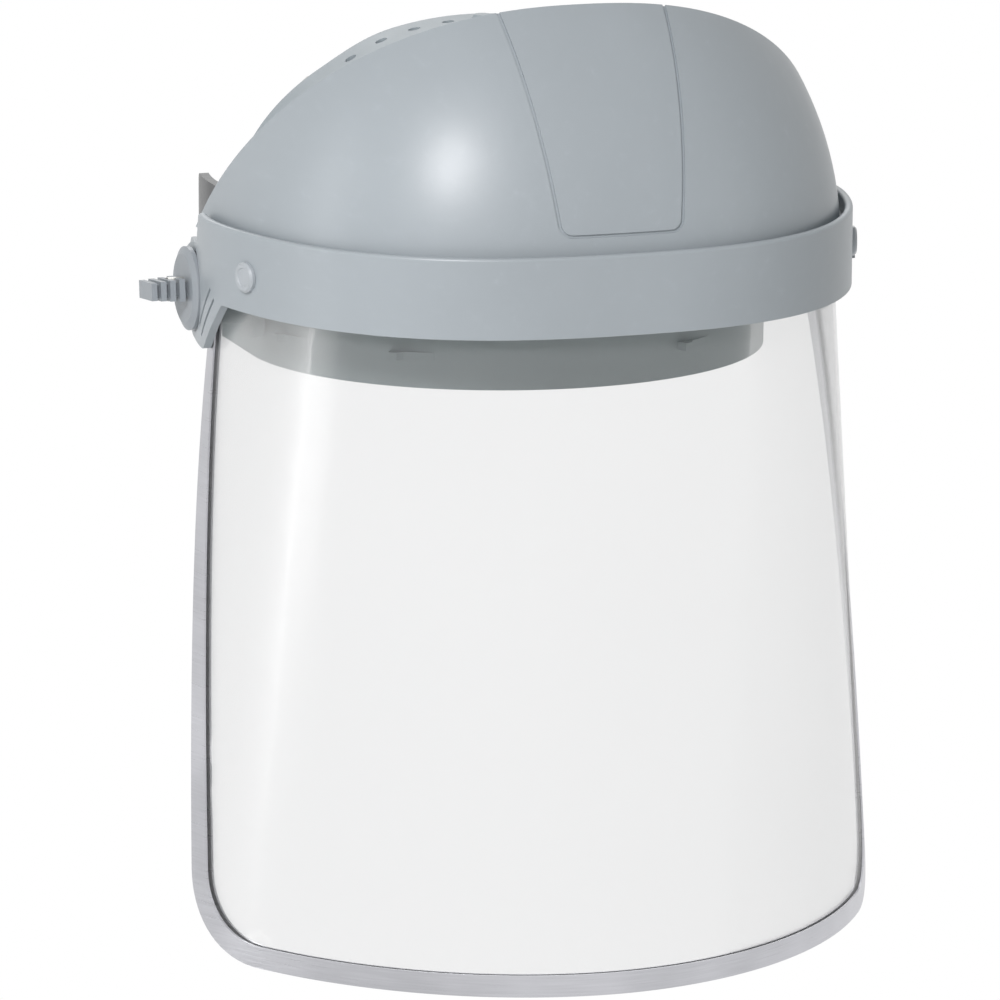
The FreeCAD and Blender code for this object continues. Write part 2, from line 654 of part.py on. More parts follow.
def makeTemple(side, sideName):
    """The dark bracket outside the headband that carries the crown and nape straps."""
    inner = val("headHalfWidth") + val("fitPlay")
    rear = val("napeCentre")
    straight = Part.makeBox(val("templeWall"), rear - val("templeFront"), 80,
                            Vector(inner, val("templeFront"), -40))
    curved = sector(inner, inner + val("templeWall"), 0, 40, -40, 80)
    curved.translate(Vector(0, rear, 0))
    corner = val("templeCorner")
    outline = sidePrism([
        (val("templeFront"), val("templeBottom"), corner), (val("templeRear"), val("templeBottom"), corner),
        (val("templeRear") - val("templeSlant"), val("templeTop"), corner * 1.5),
        (val("templeFront"), val("templeTop"), corner)], 0, 200)
    bracket = straight.fuse(curved).common(outline).removeSplitter()
    bore = Part.makeCylinder(val("studRadius") + val("play"), 40,
                             Vector(60, val("crownMiddle"), val("studLevel")), Vector(1, 0, 0))
    tailBore = Part.makeCylinder(val("studRadius") + val("play"), 40, *tailStudAxis())
    bracket = bracket.cut([bore, tailBore])
    addShape(f"temple_bracket_{sideName}", onlySolid(bracket if side > 0 else mirrored(bracket)))


def tailStudAxis():
    """Start point and direction of the stud that guides the nape strap, on the +X side."""
    direction = napePlacement.Rotation.multVec(studWay())
    return napePlacement.Base + direction * 60, direction


def studWay():
    """The guide stud's direction in the nape straps' own leaning frame."""
    return Rotation(Vector(0, 0, 1), val("tailStudAngle")).multVec(Vector(1, 0, 0))


def makeStuds(side, sideName):
    """Flanged studs that hold the crown strap and guide the nape strap."""
    inner = size["headHalfWidth"] - size["headWall"] - size["fitPlay"] - size["strapThick"] - 0.2
    outer = size["headHalfWidth"] + size["fitPlay"] + size["templeWall"] + 0.1
    stud = newBody(f"crown_stud_{sideName}")
    radius, head, proud = size["studRadius"], size["studHead"], size["studProud"]
    turn(stud, polygonSketch(stud, f"CrownStud{sideName}", "XY_Plane", [
        (inner - proud, 0), (inner - proud, head), (inner, head), (inner, radius), (outer, radius),
        (outer, head), (outer + proud, head - 0.6), (outer + proud, 0)]), "H_Axis")
    stud.Placement = Placement(Vector(0, val("crownMiddle"), val("studLevel")), Rotation()) * outward(side)
    rail = size["napeRadius"] - size["tailThick"] - size["studPlay"]
    face = outer + size["leanPlay"]
    guide = newBody(f"nape_stud_{sideName}")
    turn(guide, polygonSketch(guide, f"NapeStud{sideName}", "XY_Plane", [
        (rail - proud, 0), (rail - proud, head), (rail, head), (rail, radius), (face, radius),
        (face, head), (face + proud, head - 0.6), (face + proud, 0)]), "H_Axis")
    turned = val("tailStudAngle") if side > 0 else 180 - val("tailStudAngle")
    guide.Placement = napePlacement.multiply(Placement(Vector(), Rotation(Vector(0, 0, 1), turned)))


# ---- crown straps -----------------------------------------------------------------------------

def makeCrownStrap(side, sideName):
    """Half of the crown strap: a leg inside the headband, then an arc over the head."""
    lapInset = 0 if side > 0 else -(val("strapThick") + val("fitPlay"))
    base = val("headHalfWidth") - val("headWall") - val("fitPlay")
    plan = (base, val("crownRise"), 2.0, 0.0)
    lap = val("crownLap")
    # the under strap keeps one arc, the over strap swells outward by its own thickness near the top
    count, start, end = 31, 0.0, 90 + lap
    outer, inner = [], []
    for step in range(count):
        angle = start + (end - start) * step / (count - 1)
        blend = min(1.0, max(0.0, (angle - 50) / 20))
        rise = lapInset * blend * blend * (3 - 2 * blend)
        outer.append(bowPoint(plan, angle, rise)[0])
        inner.append(bowPoint(plan, angle, rise + val("strapThick"))[0])
    tail = Vector(0, val("crownTail"), 0)
    wire = closedWire([[outer[0] + tail, outer[0]], outer, inner[::-1], [inner[0], inner[0] + tail]])
    strap = Part.Face(wire).extrude(Vector(0, 0, val("strapWidth")))
    # stand the arc up: its front becomes the crown
    strap.rotate(Vector(), Vector(1, 0, 0), -90)
    strap.translate(Vector(0, val("crownMiddle") - val("strapWidth") / 2, val("crownBase")))
    for angle in crownHoleAngles:
        point, normal = bowPoint(plan, angle, 0)
        place = Vector(point.x, val("crownMiddle"), val("crownBase") - point.y)
        way = Vector(normal.x, 0, -normal.y)
        strap = strap.cut(Part.makeCylinder(val("holeRadius"), 20, place - way * 10, way))
    bore = Part.makeCylinder(val("studRadius") + val("play"), 40,
                             Vector(-100, val("crownMiddle"), val("studLevel")), Vector(1, 0, 0))
    strap = strap.cut(bore)
    addShape(f"crown_strap_{sideName}", onlySolid(mirrored(strap) if side > 0 else strap))


def holeAngles():
    """Angles at which the adjusting holes lie one pitch apart along the arc, from the top down."""
    halfWidth = val("headHalfWidth") - val("headWall") - val("fitPlay")
    angles, angle = [], 90.0
    for _ in range(5):
        angles.append(angle)
        slope = math.hypot(halfWidth * math.sin(math.radians(angle)),
                           val("crownRise") * math.cos(math.radians(angle)))
        angle -= math.degrees(val("holePitch") / slope)
    return angles


crownHoleAngles = holeAngles() + [90 + (90 - holeAngles()[1])]


def makeCrownPeg():
    """The peg that joins the two crown straps at the top hole."""
    peg = newBody("crown_peg")
    lap = size["strapThick"] * 2 + size["fitPlay"]
    sole = size["crownBase"] + size["crownRise"] - size["strapThick"]
    under = sole - 0.1 - size["pegHeadThick"]
    radius = size["holeRadius"] - 0.1
    turn(peg, polygonSketch(peg, "PegProfile", "XZ_Plane", [
        (0, under), (radius + size["pegHead"], under), (radius + size["pegHead"], sole - 0.1),
        (radius, sole - 0.1),
        (radius, sole + lap + 0.1), (radius + 1.6, sole + lap + 0.1), (radius + 0.9, sole + lap + 1.3),
        (0, sole + lap + 1.3)]), "V_Axis")
    peg.Placement = Placement(Vector(0, val("crownMiddle"), 0), Rotation())


def makeLinerTab(side, sideName):
    """A pale leaf-shaped tab of the crown liner, behind the strap on each side."""
    plan = (val("headHalfWidth") - val("headWall") - val("fitPlay"), val("crownRise"), 2.0, 0.0)
    point, normal = bowPoint(plan, val("tabAngle"), val("strapThick") + val("fitPlay"))
    half = val("tabLength") / 2
    arc = Part.Arc(Vector(-half, 0, 0), Vector(0, val("tabHalfWidth"), 0), Vector(half, 0, 0)).toShape()
    back = Part.Arc(Vector(half, 0, 0), Vector(0, -val("tabHalfWidth"), 0), Vector(-half, 0, 0)).toShape()
    leaf = Part.Face(Part.Wire([arc, back])).extrude(Vector(0, 0, val("tabThick")))
    slope = math.degrees(math.atan2(-normal.y, -normal.x))
    # the leaf lies under the strap with its length along it and its point past the rear edge
    leaf.rotate(Vector(0, 0, 0), Vector(0, 0, 1), val("tabTurn"))
    leaf.translate(Vector(0, 0, -val("tabThick") - val("tabPlay")))
    leaf.rotate(Vector(), Vector(0, 1, 0), slope - 90)
    rearEdge = val("crownMiddle") + val("strapWidth") / 2
    leaf.translate(Vector(point.x, rearEdge - 2, val("crownBase") - point.y))
    addShape(f"liner_tab_{sideName}", onlySolid(mirrored(leaf) if side > 0 else leaf))


# ---- nape straps and ratchet --------------------------------------------------------------------

napePlacement = Placement(Vector(0, val("napeCentre"), val("napeLevel")),
                          Rotation(Vector(1, 0, 0), -val("napeLean")))
tailOuter = val("napeRadius")
tailInner = tailOuter - val("tailThick")
tailMiddle = (tailOuter + tailInner) / 2


def addNape(label, shape):
    piece = addShape(label, onlySolid(shape))
    piece.Placement = napePlacement.multiply(piece.Placement)
    return piece


def rackStrap():
    """The +X strap: a full-height arc that narrows to an upper rack over the pinion."""
    half = val("tailHeight") / 2
    strap = sector(tailInner, tailOuter, val("tailStart"), val("tailEnd"), -half, val("tailHeight"))
    tipLine = val("pinionRadius") - val("toothDepth") / 2 + 0.25
    lower = sector(tailInner - 1, tailOuter + 1, val("rackStart"), val("tailEnd") + 5, -half - 1,
                   half + 1 + tipLine)
    strap = strap.cut(lower)
    pitch = 2 * math.pi * val("pinionRadius") / val("toothCount")
    width = pitch / 2 + val("toothPlay")
    gaps = []
    step = -3
    while pitch * (step + 0.5) < tailMiddle * math.radians(90 - val("rackStart")) - 12:
        turned = 90 - math.degrees(pitch * (step + 0.5) / tailMiddle)
        corner = Vector(-width / 2, tailInner - 3, tipLine - 0.1)
        gap = Part.makeBox(width, 8, val("toothDepth") + 0.1, corner)
        gap.rotate(Vector(), Vector(0, 0, 1), turned - 90)
        gaps.append(gap)
        step += 1
    strap = strap.cut(gaps)
    # the guide slot lets the strap run past its stud
    radius = val("studRadius") + val("slotPlay")
    slots = []
    for step in range(6):
        bore = Part.makeCylinder(radius, 40, studWay() * 60, studWay())
        bore.rotate(Vector(), Vector(0, 0, 1), -val("strapTravel") * step / 5)
        slots.append(bore)
    return strap.cut(slots)


def makeNapeStraps():
    strap = rackStrap()
    addNape("nape_strap_left", strap)
    turned = strap.copy()
    turned.rotate(Vector(), Vector(0, 1, 0), 180)
    addNape("nape_strap_right", turned)


def makeRatchet():
    half = val("housingHeight") / 2
    angle = val("housingAngle")
    start, end = 90 - angle, 90 + angle
    slotIn, slotOut = tailInner - 0.3, tailOuter + 0.3
    inner, outer = slotIn - val("housingSkin"), slotOut + val("housingSkin")
    shaft = val("ratchetShaft")
    tip = val("pinionRadius") + val("toothDepth") / 2

    housing = sector(inner, outer, start, end, -half, val("housingHeight"))
    housing = housing.cut(sector(slotIn, slotOut, start - 3, end + 3, -val("tailHeight") / 2 - 0.3,
                                 val("tailHeight") + 0.6))
    housing = housing.cut(Part.makeCylinder(tip + 0.4, outer - slotIn + 3, Vector(0, slotIn - 0.2, 0),
                                            Vector(0, 1, 0)))
    screwAcross, screwUp = val("coverScrewAcross"), val("coverScrewUp")
    screws = [(across, up) for across in (screwAcross, -screwAcross) for up in (screwUp, -screwUp)]
    shank, head, headThick = val("coverScrewRadius"), val("coverScrewHead"), val("coverScrewHeadThick")
    coverOut = outer + 0.1 + val("coverThick")
    cover = sector(outer + 0.1, coverOut, start, end, -half, val("housingHeight"))
    cover = cover.cut(Part.makeCylinder(shaft + val("play"), 40, Vector(0, inner, 0), Vector(0, 1, 0)))
    fasteners = []
    for across, up in screws:
        turned = 90 - math.degrees(math.asin(across / outer))
        way = Vector(math.cos(math.radians(turned)), math.sin(math.radians(turned)), 0)
        foot = way * (slotOut + 0.6) + Vector(0, 0, up)
        top = way * (coverOut - headThick) + Vector(0, 0, up)
        screw = Part.makeCylinder(shank, coverOut - slotOut - 1.6, foot, way)
        fasteners.append(screw.fuse(Part.makeCylinder(head, headThick, top, way)))
        bore = Part.makeCylinder(shank + val("play"), 30, foot - way * 0.1, way)
        sink = Part.makeCylinder(head + val("play"), 5, top - way * val("play"), way)
        housing = housing.cut(bore)
        cover = cover.cut([bore, sink])
    rim = [edge for edge in cover.Edges if edge.Length > 20 and abs(abs(edge.CenterOfMass.z) - half) < 0.01
           and math.hypot(edge.Vertexes[0].X, edge.Vertexes[0].Y) > coverOut - 0.5]
    cover = cover.makeFillet(val("coverRound"), rim)
    addNape("ratchet_housing", housing)
    addNape("ratchet_cover", cover)
    addNape("cover_screws", Part.makeCompound(fasteners))

    padIn = inner - val("fitPlay") - val("napePadThick")
    padAngle, padHigh = val("napePadAngle"), val("napePadHeight")
    nape = sector(padIn, inner - val("fitPlay"), 90 - padAngle, 90 + padAngle, -padHigh / 2, padHigh)
    addNape("nape_pad", nape)

    # pinion: straight teeth, with play on both flanks
    root = val("pinionRadius") - val("toothDepth") / 2
    pinion = Part.makeCylinder(root, slotOut - slotIn - 0.4, Vector(0, slotIn + 0.2, 0), Vector(0, 1, 0))
    pitch = 2 * math.pi * val("pinionRadius") / val("toothCount")
    width = pitch / 2 - val("toothPlay")
    for step in range(int(val("toothCount"))):
        tooth = Part.makeBox(width, slotOut - slotIn - 0.4, tip - root + 1,
                             Vector(-width / 2, slotIn + 0.2, root - 1))
        tooth.rotate(Vector(), Vector(0, 1, 0), 360 * (step + 0.5) / val("toothCount"))
        pinion = pinion.fuse(tooth)
    pinion = pinion.cut(Part.makeCylinder(shaft - 0.6 + 0.02, 20, Vector(0, slotIn - 5, 0), Vector(0, 1, 0)))
    addNape("pinion", pinion)

    knobBack = coverOut + 0.3
    knobEnd = knobBack + val("ratchetDepth")
    radius = val("ratchetRadius")
    knob = Part.makeCylinder(radius, val("ratchetDepth"), Vector(0, knobBack, 0), Vector(0, 1, 0))
    outerRim = [edge for edge in knob.Edges if edge.CenterOfMass.y > knobEnd - 0.01 and edge.Closed]
    knob = knob.makeFillet(val("knobRound"), outerRim)
    flutes = []
    count = int(val("fluteCount"))
    for step in range(count):
        flute = Part.makeCylinder(val("fluteRadius"), val("ratchetDepth") + 2,
                                  Vector(0, knobBack + 2.5, radius + 1.0), Vector(0, 1, 0))
        flute.rotate(Vector(), Vector(0, 1, 0), 360 / count * step)
        flutes.append(flute)
    knob = knob.cut(flutes)
    knob = knob.cut(Part.makeCylinder(radius - 6, 2, Vector(0, knobEnd - 1.2, 0), Vector(0, 1, 0)))
    stem = Part.makeCylinder(shaft, knobBack - slotOut + 0.2, Vector(0, slotOut + 0.2, 0), Vector(0, 1, 0))
    spigot = Part.makeCylinder(shaft - 0.6, slotOut - slotIn - 0.2, Vector(0, slotIn + 0.4, 0),
                               Vector(0, 1, 0))
    addNape("ratchet_knob", knob.fuse([stem, spigot]))


makeBand()
makeDome()
makeWindow()
makeBinding()
makeHeadband()
makeBrowPad()
for side, sideName in ((1, "left"), (-1, "right")):
    makeButtons(side, sideName)
    makePivot(side, sideName)
    makeLug(side, sideName)
    makeTemple(side, sideName)
    makeStuds(side, sideName)
    makeCrownStrap(side, sideName)
    makeLinerTab(side, sideName)
makeCrownPeg()
makeNapeStraps()
makeRatchet()
doc.recompute()

for item in doc.Objects:
    if "Invalid" in item.State or "Error" in item.State:
        raise RuntimeError(f"{item.Label} did not build: {item.State}")
for piece in parts:
    if piece.Shape.isNull() or not piece.Shape.isValid():
        raise RuntimeError(f"{piece.Label} has no valid shape")

os.makedirs("parts", exist_ok=True)
for piece in parts:
    piece.Shape.exportStep(f"parts/{piece.Label}.step")
    box = piece.Shape.BoundBox
    print(f"{piece.Label}: {len(piece.Shape.Solids)} solid, {piece.Shape.Volume:.0f} mm3,",
          f"x {box.XMin:.1f}..{box.XMax:.1f} y {box.YMin:.1f}..{box.YMax:.1f}",
          f"z {box.ZMin:.1f}..{box.ZMax:.1f}")
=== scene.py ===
import math

import bpy
from mathutils import Matrix, Vector


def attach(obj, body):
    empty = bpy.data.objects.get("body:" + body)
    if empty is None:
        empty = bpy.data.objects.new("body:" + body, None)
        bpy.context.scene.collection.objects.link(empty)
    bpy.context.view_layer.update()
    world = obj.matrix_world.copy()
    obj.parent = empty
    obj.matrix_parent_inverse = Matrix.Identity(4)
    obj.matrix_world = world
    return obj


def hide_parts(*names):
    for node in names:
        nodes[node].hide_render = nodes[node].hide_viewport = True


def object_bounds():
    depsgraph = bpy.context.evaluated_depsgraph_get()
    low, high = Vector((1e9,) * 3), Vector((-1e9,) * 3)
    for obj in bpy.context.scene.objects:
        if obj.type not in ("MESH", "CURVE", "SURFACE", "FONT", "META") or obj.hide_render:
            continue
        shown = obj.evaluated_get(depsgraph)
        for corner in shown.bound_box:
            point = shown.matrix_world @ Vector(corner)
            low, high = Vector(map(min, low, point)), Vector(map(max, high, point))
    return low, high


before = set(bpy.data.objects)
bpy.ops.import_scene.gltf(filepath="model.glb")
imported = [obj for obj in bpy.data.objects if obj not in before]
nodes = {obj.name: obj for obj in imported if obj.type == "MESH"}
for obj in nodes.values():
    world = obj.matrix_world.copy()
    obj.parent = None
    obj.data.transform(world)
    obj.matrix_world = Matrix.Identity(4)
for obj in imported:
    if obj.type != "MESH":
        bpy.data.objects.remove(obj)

cadLow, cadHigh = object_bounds()
scene = bpy.context.scene
white = (1.0, 1.0, 1.0)


def newObject(name, data):
    made = bpy.data.objects.new(name, data)
    scene.collection.objects.link(made)
    return made


view = {
    "azimuth": -19.23, "elevation": 12.75, "roll": 0.25, "distance": 2.176,
    "lens": 246.9, "sensor": 36, "reach": 50,
    "aim": (-0.0121, -0.0336, -0.0678),
}


def addCamera():
    turn, lift = math.radians(view["azimuth"]), math.radians(view["elevation"])
    back = Vector((math.sin(turn) * math.cos(lift), -math.cos(turn) * math.cos(lift), math.sin(lift)))
    camera = newObject("camera", bpy.data.cameras.new("camera"))
    camera.data.lens = view["lens"]
    camera.data.sensor_width = view["sensor"]
    camera.data.clip_end = view["reach"]
    camera.location = Vector(view["aim"]) + back * view["distance"]
    upright = back.to_track_quat("Z", "Y").to_matrix()
    camera.rotation_euler = (upright @ Matrix.Rotation(math.radians(view["roll"]), 3, "Z")).to_euler()
    scene.camera = camera


lights = {  # place, size across and up, power, colour
    "keyPanel": ((-1.1, -1.5, 1.2), (0.5, 0.5), 33.0, (1.0, 0.985, 1.0)),
    "sidePanel": ((1.7, -1.2, 0.3), (0.5, 1.2), 1.2, (0.96, 1.0, 0.97)),
    "backPanel": ((0.3, 1.8, 1.2), (1.4, 0.8), 10.0, white),
    "leftStrip": ((-1.9, 0.1, 0.2), (0.35, 1.8), 6.0, white),
}


def addLights():
    for name, (place, (across, up), power, colour) in lights.items():
        data = bpy.data.lights.new(name, "AREA")
        data.shape = "RECTANGLE"
        data.size, data.size_y = across, up
        data.energy = power
        data.color = colour
        lamp = newObject(name, data)
        lamp.location = place
        aim = Vector(place) - (cadLow + cadHigh) / 2
        lamp.rotation_euler = aim.to_track_quat("Z", "Y").to_euler()


class Wire:
    # a socket of a node tree that can stand in an expression
    def __init__(self, graph, socket):
        self.graph = graph
        self.socket = socket

    def maths(self, operation, first, second):
        made = self.graph.add("ShaderNodeMath", {"operation": operation}, {0: first, 1: second})
        return made["Value"]

    def __add__(self, other):
        return self.maths("ADD", self, other)

    def __sub__(self, other):
        return self.maths("SUBTRACT", self, other)

    def __rsub__(self, other):
        return self.maths("SUBTRACT", other, self)

    def __mul__(self, other):
        return self.maths("MULTIPLY", self, other)

    def __pow__(self, other):
        return self.maths("POWER", self, other)

    def larger(self, other):
        return self.maths("MAXIMUM", self, other)

    __radd__, __rmul__ = __add__, __mul__


def tone(colour):
    return colour if isinstance(colour, Wire) else (*colour, 1.0)


def shade(colour, factor):
    return tuple(channel * factor for channel in colour)


class Graph:
    # the nodes of a material or a world
    def __init__(self, owner):
        owner.use_nodes = True
        self.tree = owner.node_tree
        self.tree.nodes.clear()

    def add(self, kind, settings=None, inputs=None):
        # one node of any kind: its settings, then the values or wires of its sockets
        node = self.tree.nodes.new(kind)
        for key, value in (settings or {}).items():
            setattr(node, key, value)
        for key, value in (inputs or {}).items():
            if isinstance(value, Wire):
                self.tree.links.new(value.socket, node.inputs[key])
            else:
                node.inputs[key].default_value = value
        return {output.name: Wire(self, output) for output in node.outputs if output.enabled}

    def mixShader(self, factor, first, second):
        return self.add("ShaderNodeMixShader", None, {0: factor, 1: first, 2: second})["Shader"]

    def background(self, strength):
        inputs = {"Color": tone(white), "Strength": strength}
        return self.add("ShaderNodeBackground", None, inputs)["Background"]

    def seenStraight(self):
        # one for what is seen straight, in gloss or through the window, and otherwise nought
        path = self.add("ShaderNodeLightPath")
        return path["Is Camera Ray"].larger(path["Is Glossy Ray"]).larger(path["Is Transmission Ray"])


class Shader(Graph):
    def __init__(self, name):
        self.material = bpy.data.materials.new(name)
        super().__init__(self.material)

    def place(self, scale=(1, 1, 1), turn=(0, 0, 0)):
        where = self.add("ShaderNodeTexCoord")["Object"]
        made = self.add("ShaderNodeMapping", None, {"Vector": where, "Scale": scale, "Rotation": turn})
        return made["Vector"]

    def noise(self, scale, detail, stretch=(1, 1, 1)):
        inputs = {"Vector": self.place(stretch), "Scale": scale, "Detail": detail}
        return self.add("ShaderNodeTexNoise", None, inputs)["Fac"]

    def wave(self, scale, turn):
        inputs = {"Vector": self.place(turn=turn), "Scale": scale}
        return self.add("ShaderNodeTexWave", {"wave_type": "BANDS"}, inputs)["Fac"]

    def blendTone(self, factor, first, second):
        inputs = {0: factor, 6: tone(first), 7: tone(second)}
        return self.add("ShaderNodeMix", {"data_type": "RGBA"}, inputs)["Result"]

    def bump(self, height, depth):
        inputs = {"Height": height, "Distance": depth, "Strength": 1.0}
        return self.add("ShaderNodeBump", None, inputs)["Normal"]

    def principled(self, inputs):
        return self.add("ShaderNodeBsdfPrincipled", None, inputs)["BSDF"]

    def finish(self, surface):
        self.add("ShaderNodeOutputMaterial", None, {"Surface": surface})
        return self.material


plastics = {  # colour, roughness, grain size per metre, grain depth in metres, coat
    "guardPlastic": ((0.375, 0.415, 0.44), 0.36, 1500, 0.00001, 0.0),
    "knobPlastic": ((0.31, 0.34, 0.365), 0.4, 1200, 0.000012, 0.0),
    "headgearPlastic": ((0.33, 0.385, 0.385), 0.5, 900, 0.00003, 0.0),
    "strapPlastic": ((0.33, 0.375, 0.40), 0.5, 1000, 0.00002, 0.0),
    "blackPlastic": ((0.006, 0.008, 0.011), 0.32, 700, 0.00003, 0.0),
    "buttonPlastic": ((0.43, 0.465, 0.49), 0.3, 1500, 0.000006, 0.3),
    "linerPlastic": ((0.72, 0.70, 0.66), 0.55, 900, 0.00002, 0.0),
    "washerRubber": ((0.03, 0.032, 0.034), 0.65, 800, 0.00003, 0.0),
}
moulding = {  # noises as size per metre, detail and stretch, then what each does to the surface
    "cloud": (16, 3.0), "flow": (60, 2.0, (1, 1, 0.25)), "marks": (260, 4.0, (1, 0.12, 1)),
    "grainDetail": 2.0, "markSharpness": 9.0, "markStrength": 4.0,
    "dark": 0.93, "pale": 1.07, "markTone": 1.16,
    "middle": 0.5, "flowRoughness": 0.12, "grainRoughness": 0.08, "cloudHeight": 0.4,
}


def mouldedPlastic(name):
    # satin moulded plastic: fine spark grain, faint flow clouding and a few handling marks
    colour, roughness, grain, depth, coat = plastics[name]
    shader = Shader(name)
    cloud = shader.noise(*moulding["cloud"])
    flow = shader.noise(*moulding["flow"])
    fine = shader.noise(grain, moulding["grainDetail"])
    marks = shader.noise(*moulding["marks"]) ** moulding["markSharpness"] * moulding["markStrength"]
    mottled = shader.blendTone(cloud, shade(colour, moulding["dark"]), shade(colour, moulding["pale"]))
    unevenFlow = (flow - moulding["middle"]) * moulding["flowRoughness"]
    unevenGrain = (fine - moulding["middle"]) * moulding["grainRoughness"]
    return shader.finish(shader.principled({
        "Base Color": shader.blendTone(marks, mottled, shade(colour, moulding["markTone"])),
        "Roughness": roughness + unevenFlow + unevenGrain,
        "Normal": shader.bump(fine + cloud * moulding["cloudHeight"], depth),
        "Coat Weight": coat,
    }))


# the lines are real hairlines; the broad light and dark bands are painted reflection in the strip's
# colour
edgeStrip = {
    "lines": (240, 5.0, (0.25, 0.25, 9)), "paintedReflectionBands": (26, 2.0), "lineShare": 0.3, "paintedReflectionShare": 0.7,
    "dark": (0.30, 0.305, 0.32), "pale": (0.72, 0.72, 0.76),
    "roughness": 0.2, "lineRoughness": 0.22, "depth": 0.00004,
}


def brushedEdge():
    # rolled aluminium strip: hairlines along its length, and soft light and dark bands painted into
    # its colour as painted reflection
    shader = Shader("brushedEdge")
    lines = shader.noise(*edgeStrip["lines"])
    paintedReflectionBands = shader.noise(*edgeStrip["paintedReflectionBands"])
    # painted reflection: broad light and dark bands in the metal's colour, mixed with the real
    # hairlines
    hairlinesAndPaintedReflection = paintedReflectionBands * edgeStrip["paintedReflectionShare"] + lines * edgeStrip["lineShare"]
    return shader.finish(shader.principled({
        "Base Color": shader.blendTone(hairlinesAndPaintedReflection, edgeStrip["dark"], edgeStrip["pale"]),
        "Metallic": 1.0,
        "Roughness": edgeStrip["roughness"] + lines * edgeStrip["lineRoughness"],
        "Normal": shader.bump(lines, edgeStrip["depth"]),
    }))


metals = {  # colour, roughness
    "zincSteel": ((0.62, 0.62, 0.63), 0.25),
    "platedBrass": ((0.52, 0.52, 0.50), 0.3),
}
turning = {"lines": (900, 3.0, (6, 0.4, 0.4)), "dark": 0.85, "lineRoughness": 0.15, "depth": 0.00002}


def turnedMetal(name):
    # small turned hardware with fine lines round its axis
    colour, roughness = metals[name]
    shader = Shader(name)
    lines = shader.noise(*turning["lines"])
    return shader.finish(shader.principled({
        "Base Color": shader.blendTone(lines, shade(colour, turning["dark"]), colour),
        "Metallic": 1.0,
        "Roughness": roughness + lines * turning["lineRoughness"],
        "Normal": shader.bump(lines, turning["depth"]),
    }))


windowLook = {
    "body": (0.40, 0.41, 0.42), "roughness": 0.12, "tint": 0.103, "edgeTint": 0.16,
    "facingBlend": 0.5, "edgeSharpness": 3.0, "haze": (9, 2.0), "hazeTint": 0.02,
    "index": 1.45, "gloss": 0.35, "glossRoughness": 0.2, "hazeRoughness": 0.1,
}


def clearWindow():
    # clear polycarbonate: a faint grey body that deepens where it is seen edge on, under a soft gloss
    shader = Shader("clearWindow")
    facing = shader.add("ShaderNodeLayerWeight", None, {"Blend": windowLook["facingBlend"]})["Facing"]
    haze = shader.noise(*windowLook["haze"])
    edge = facing ** windowLook["edgeSharpness"] * windowLook["edgeTint"]
    body = shader.principled({
        "Base Color": tone(windowLook["body"]),
        "Roughness": windowLook["roughness"],
        "Alpha": windowLook["tint"] + edge + haze * windowLook["hazeTint"],
    })
    gloss = shader.principled({
        "Base Color": tone(white),
        "Metallic": 1.0,
        "Roughness": windowLook["glossRoughness"] + haze * windowLook["hazeRoughness"],
    })
    rim = shader.add("ShaderNodeFresnel", None, {"IOR": windowLook["index"]})["Fac"]
    return shader.finish(shader.mixShader(rim * windowLook["gloss"], body, gloss))


weave = {
    "threads": 420, "nap": (700, 3.0), "cloud": (30, 3.0), "colour": (0.115, 0.13, 0.132),
    "dark": 0.7, "pale": 1.3, "threadShare": 0.6, "cloudShare": 0.4,
    "roughness": 0.82, "napRoughness": 0.14, "sheen": 0.25, "napHeight": 0.5, "depth": 0.00018,
}


def padCloth():
    # close woven cloth over foam: two crossing sets of threads with a soft nap
    shader = Shader("padCloth")
    warp = shader.wave(weave["threads"], (0, 0, math.radians(45)))
    weft = shader.wave(weave["threads"], (math.radians(90), 0, math.radians(45)))
    nap = shader.noise(*weave["nap"])
    cloud = shader.noise(*weave["cloud"])
    threads = warp * weft
    dark, pale = shade(weave["colour"], weave["dark"]), shade(weave["colour"], weave["pale"])
    mottle = threads * weave["threadShare"] + cloud * weave["cloudShare"]
    return shader.finish(shader.principled({
        "Base Color": shader.blendTone(mottle, dark, pale),
        "Roughness": weave["roughness"] + nap * weave["napRoughness"],
        "Sheen Weight": weave["sheen"],
        "Normal": shader.bump(threads + nap * weave["napHeight"], weave["depth"]),
    }))


surroundings = {
    "ambient": 0.235, "floorDrop": 0.2, "floorSize": 30,
    "floorColour": (0.9, 0.9, 0.9), "floorRoughness": 0.8,
}


def addWorld():
    # white where it is seen, and a dimmer white where it only lights
    world = bpy.data.worlds.new("studio")
    scene.world = world
    graph = Graph(world)
    seen = graph.seenStraight()
    dim, bright = (graph.background(strength) for strength in (surroundings["ambient"], 1.0))
    graph.add("ShaderNodeOutputWorld", None, {"Surface": graph.mixShader(seen, dim, bright)})


def addFloor():
    # white where it is seen, and otherwise a plain lit surface
    bpy.ops.object.select_all(action="DESELECT")
    bpy.ops.mesh.primitive_plane_add(size=surroundings["floorSize"],
                                     location=(0, 0, cadLow.z - surroundings["floorDrop"]))
    floor = bpy.context.object
    floor.name = "floor"
    shader = Shader("paleFloor")
    lit = shader.principled({"Base Color": tone(surroundings["floorColour"]),
                             "Roughness": surroundings["floorRoughness"]})
    glow = shader.add("ShaderNodeEmission", None, {"Color": tone(white), "Strength": 1.0})["Emission"]
    floor.data.materials.append(shader.finish(shader.mixShader(shader.seenStraight(), lit, glow)))


